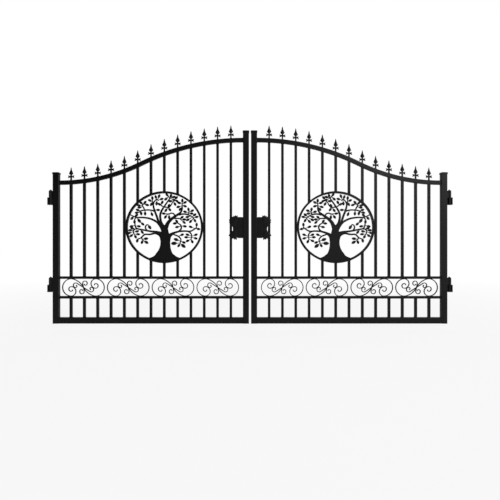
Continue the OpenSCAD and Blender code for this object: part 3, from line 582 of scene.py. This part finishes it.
TREE_GROWTH = 0.0018
CORNER_LIMIT = 0.6
GAP_SHARE = 0.35
GROWTH_PASSES = 14
WALL_LIMIT = 0.5
NORMAL_DIGITS = 2


def growth_moves(work):
    """How far each point of a plate's outline moves out, less where what lies opposite is near."""
    gaps = BVHTree.FromBMesh(work)
    moves = {}
    for vert in work.verts:
        walls = [face.normal for face in vert.link_faces if abs(face.normal.y) < WALL_LIMIT]
        walls = list({tuple(round(c, NORMAL_DIGITS) for c in wall): wall for wall in walls}.values())
        if walls:
            out = sum(walls, Vector()).normalized()
            reach = TREE_GROWTH / max(CORNER_LIMIT, min(out.dot(wall) for wall in walls))
            start = Vector((vert.co.x, 0, vert.co.z)) + JOIN_DISTANCE * out
            gap = gaps.ray_cast(start, out)[3]
            moves[vert] = out * (reach if gap is None else min(reach, GAP_SHARE * gap))
    return moves


def grow_plate(work):
    """Moves a plate's outline out, in passes that hold back the corners where faces would fold over."""
    moves = growth_moves(work)
    homes = {vert: vert.co.copy() for vert in moves}
    faces = [(face, face.normal.y) for face in work.faces if abs(face.normal.y) > WALL_LIMIT]
    for _ in range(GROWTH_PASSES):
        for vert, move in moves.items():
            vert.co = homes[vert] + move
        work.normal_update()
        folded = {vert for face, y in faces if face.normal.y * y <= 0 for vert in face.verts}
        for vert in folded & moves.keys():
            moves[vert] = moves[vert] / 2


def add_tree_plate(name, node, body):
    """Tree of the frame with its outline moved out a little, to the weight that it shows."""
    work = mesh_work(frame["nodes"][node].data)
    grow_plate(work)
    return place_piece(name, work, body, "ornament", smooth_angle=30)


# Shader nodes

def map_range(tree, value, span, levels=(0.0, 1.0)):
    """Value mapped from a span to the levels at its ends."""
    node = tree.nodes.new("ShaderNodeMapRange")
    for name, number in zip(("From Min", "From Max", "To Min", "To Max"), (*span, *levels)):
        node.inputs[name].default_value = number
    tree.links.new(value, node.inputs["Value"])
    return node.outputs["Result"]


def combine(tree, operation, first, second):
    """Two values joined by an operation."""
    node = tree.nodes.new("ShaderNodeMath")
    node.operation = operation
    tree.links.new(first, node.inputs[0])
    tree.links.new(second, node.inputs[1])
    return node.outputs["Value"]


def mix_shaders(tree, share, first, second):
    """Share of the second shader over the first one."""
    node = tree.nodes.new("ShaderNodeMixShader")
    for i, output in enumerate((share, first, second)):
        tree.links.new(output, node.inputs[i])
    return node.outputs["Shader"]


def noise_at(tree, place, scale, detail):
    """Noise over the object's own space, so it keeps its real scale on every piece."""
    node = tree.nodes.new("ShaderNodeTexNoise")
    node.inputs["Scale"].default_value = scale
    node.inputs["Detail"].default_value = detail
    tree.links.new(place.outputs["Object"], node.inputs["Vector"])
    return node.outputs["Fac"]


def any_ray(tree, *kinds):
    """One for rays of these kinds, and zero for all others."""
    path = tree.nodes.new("ShaderNodeLightPath")
    found = path.outputs[kinds[0]]
    for kind in kinds[1:]:
        found = combine(tree, "MAXIMUM", found, path.outputs[kind])
    return found


# Coats

COAT_SPECULAR = 0.15
TINT_SCALE, TINT_DETAIL, TINT_SPAN, TINT_CHANGE = 3.1, 5.0, (0.3, 0.75), 0.2
GLOSS_SCALE, GLOSS_DETAIL, GLOSS_SPAN, GLOSS_CHANGE = 38.0, 4.0, (0.3, 0.7), 0.05
PEEL_DETAIL, PEEL_STRENGTH, PEEL_DEPTH = 2.0, 0.12, 0.0004


def powder_coat(name, colour, roughness, grain):
    """Satin black powder coat: cloudy colour and gloss, with a fine orange peel."""
    mat = bpy.data.materials.new(name)
    mat.use_nodes = True
    tree = mat.node_tree
    shader = tree.nodes["Principled BSDF"]
    shader.inputs["Metallic"].default_value = 0.0
    shader.inputs["Specular IOR Level"].default_value = COAT_SPECULAR
    place = tree.nodes.new("ShaderNodeTexCoord")

    tint = tree.nodes.new("ShaderNodeValToRGB")
    ends = tint.color_ramp.elements
    ends[0].position, ends[1].position = TINT_SPAN
    ends[0].color = (*[c * (1 - TINT_CHANGE) for c in colour], 1)
    ends[1].color = (*[c * (1 + TINT_CHANGE) for c in colour], 1)
    tree.links.new(noise_at(tree, place, TINT_SCALE, TINT_DETAIL), tint.inputs["Fac"])
    tree.links.new(tint.outputs["Color"], shader.inputs["Base Color"])

    clouds = noise_at(tree, place, GLOSS_SCALE, GLOSS_DETAIL)
    gloss = map_range(tree, clouds, GLOSS_SPAN, (roughness - GLOSS_CHANGE, roughness + GLOSS_CHANGE))
    tree.links.new(gloss, shader.inputs["Roughness"])

    bump = tree.nodes.new("ShaderNodeBump")
    bump.inputs["Strength"].default_value = PEEL_STRENGTH
    bump.inputs["Distance"].default_value = PEEL_DEPTH
    tree.links.new(noise_at(tree, place, grain, PEEL_DETAIL), bump.inputs["Height"])
    tree.links.new(bump.outputs["Normal"], shader.inputs["Normal"])
    return mat


COATS = {
    "frame": powder_coat("frame_coat", (0.0030, 0.0031, 0.0034), 0.42, 420.0),
    "infill": powder_coat("infill_coat", (0.0026, 0.0027, 0.0030), 0.42, 420.0),
    "ornament": powder_coat("ornament_coat", (0.0030, 0.0031, 0.0034), 0.46, 300.0),
    "lock": powder_coat("lock_coat", (0.0030, 0.0031, 0.0034), 0.40, 360.0),
    "hinge": powder_coat("hinge_coat", (0.0032, 0.0033, 0.0036), 0.38, 420.0),
}


def coat_frame():
    """Gives every node of the frame the coat of its slot."""
    for part in frame["record"]["subparts"]:
        mesh = frame["nodes"][part["node"]].data
        mesh.materials.clear()
        mesh.materials.append(COATS[part["material_slot"]])


# Stage, light and camera

FLOOR_SIZE = 60
FLOOR_GREY, FLOOR_ROUGHNESS = 0.42, 0.9
WHITE_SPAN, WHITE_SHARES = (2.5, 8.0), (0.88, 1.0)
ROOM_SPAN, ROOM_LEVELS = (-0.20, 0.55), (0.02, 1.6)
BEHIND_SPAN = (-0.1, 0.3)
WHITE = (1, 1, 1, 1)
CAMERA_LENS, CAMERA_SENSOR_W = 26.79, 36.0
CAMERA_REACH, CAMERA_H = 3.670, 0.727
KEY_PLACE = (MIDDLE_X + 3.2, -4.2, BASE_Z + 3.4)
KEY_AIM = (MIDDLE_X + 0.8, 0, BASE_Z + 0.9)
KEY_SIZE, KEY_POWER = 2.2, 100


def floor_white():
    """Pale floor that shows as white, more so far off, and that takes the gate's shadow."""
    mat = bpy.data.materials.new("floor_white")
    mat.use_nodes = True
    tree = mat.node_tree
    shader = tree.nodes["Principled BSDF"]
    shader.inputs["Base Color"].default_value = (FLOOR_GREY, FLOOR_GREY, FLOOR_GREY, 1)
    shader.inputs["Roughness"].default_value = FLOOR_ROUGHNESS

    place = tree.nodes.new("ShaderNodeTexCoord")
    far = tree.nodes.new("ShaderNodeVectorMath")
    far.operation = "LENGTH"
    tree.links.new(place.outputs["Object"], far.inputs[0])
    share = map_range(tree, far.outputs["Value"], WHITE_SPAN, WHITE_SHARES)
    rays = any_ray(tree, "Is Camera Ray", "Is Glossy Ray", "Is Transmission Ray")
    white = tree.nodes.new("ShaderNodeEmission")
    white.inputs["Strength"].default_value = 1.0
    seen = combine(tree, "MULTIPLY", rays, share)
    mixed = mix_shaders(tree, seen, shader.outputs["BSDF"], white.outputs["Emission"])
    tree.links.new(mixed, tree.nodes["Material Output"].inputs["Surface"])
    return mat


def stage_floor():
    """Plain floor a little below the gate, which hangs clear of it."""
    bpy.ops.mesh.primitive_plane_add(size=FLOOR_SIZE, location=(MIDDLE_X, 0, BASE_Z - FLOOR_GAP))
    floor = bpy.context.object
    floor.name = "floor"
    floor.data.materials.append(floor_white())


def studio_world():
    """White behind the gate for every ray; before it a soft studio, bright right and dim left."""
    world = bpy.data.worlds.new("studio")
    world.use_nodes = True
    bpy.context.scene.world = world
    tree = world.node_tree
    tree.nodes.clear()
    place = tree.nodes.new("ShaderNodeTexCoord")
    split = tree.nodes.new("ShaderNodeSeparateXYZ")
    tree.links.new(place.outputs["Generated"], split.inputs["Vector"])

    room = tree.nodes.new("ShaderNodeBackground")
    room.inputs["Color"].default_value = WHITE
    tree.links.new(map_range(tree, split.outputs["X"], ROOM_SPAN, ROOM_LEVELS), room.inputs["Strength"])
    white = tree.nodes.new("ShaderNodeBackground")
    white.inputs["Color"].default_value = WHITE
    white.inputs["Strength"].default_value = 1.0

    behind = map_range(tree, split.outputs["Y"], BEHIND_SPAN)
    shown = combine(tree, "MAXIMUM", any_ray(tree, "Is Camera Ray", "Is Transmission Ray"), behind)
    mixed = mix_shaders(tree, shown, room.outputs["Background"], white.outputs["Background"])
    out = tree.nodes.new("ShaderNodeOutputWorld")
    tree.links.new(mixed, out.inputs["Surface"])


def key_light():
    """Square soft box before the gate, high to the right."""
    lamp = bpy.data.lights.new("key", "AREA")
    lamp.shape = "RECTANGLE"
    lamp.size, lamp.size_y = KEY_SIZE, KEY_SIZE
    lamp.energy = KEY_POWER
    obj = bpy.data.objects.new("key", lamp)
    bpy.context.scene.collection.objects.link(obj)
    obj.location = KEY_PLACE
    obj.rotation_mode = "QUATERNION"
    obj.rotation_quaternion = (Vector(KEY_AIM) - Vector(KEY_PLACE)).to_track_quat("-Z", "Y")


def photo_camera():
    """Camera at the photograph's place: level, before the gate's middle."""
    cam = bpy.data.cameras.new("camera")
    cam.sensor_width = CAMERA_SENSOR_W
    cam.lens = CAMERA_LENS
    obj = bpy.data.objects.new("camera", cam)
    bpy.context.scene.collection.objects.link(obj)
    obj.location = (MIDDLE_X, FRONT_Y - CAMERA_REACH, BASE_Z + CAMERA_H)
    obj.rotation_euler = (math.radians(90), 0, 0)
    bpy.context.scene.camera = obj


# Scene

coat_frame()
for side, mirrored in MIRRORED.items():
    leaf = side + "_leaf"
    bars = add_piece(side + "_scroll_bars", scroll_bars(), leaf, "ornament", mirrored)
    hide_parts(side + "_scrolls")
    covers = add_piece(side + "_lock_covers", lock_covers(), leaf, "lock", mirrored, smooth_angle=30)
    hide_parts(side + "_lock_plates")
    foliage = add_piece(side + "_lock_foliage", lock_foliage(), leaf, "lock", mirrored)
    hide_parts(side + "_lock_leaves")
    tree = add_tree_plate(side + "_tree_plate", side + "_tree_of_life", leaf)
    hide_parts(side + "_tree_of_life")
    add_piece(side + "_welds", leaf_welds(), leaf, "frame", mirrored)
    add_piece(side + "_post_welds", post_welds(), "post_hinges", "hinge", mirrored)

stage_floor()
studio_world()
photo_camera()
key_light()

bpy.context.scene.view_settings.view_transform = "Standard"
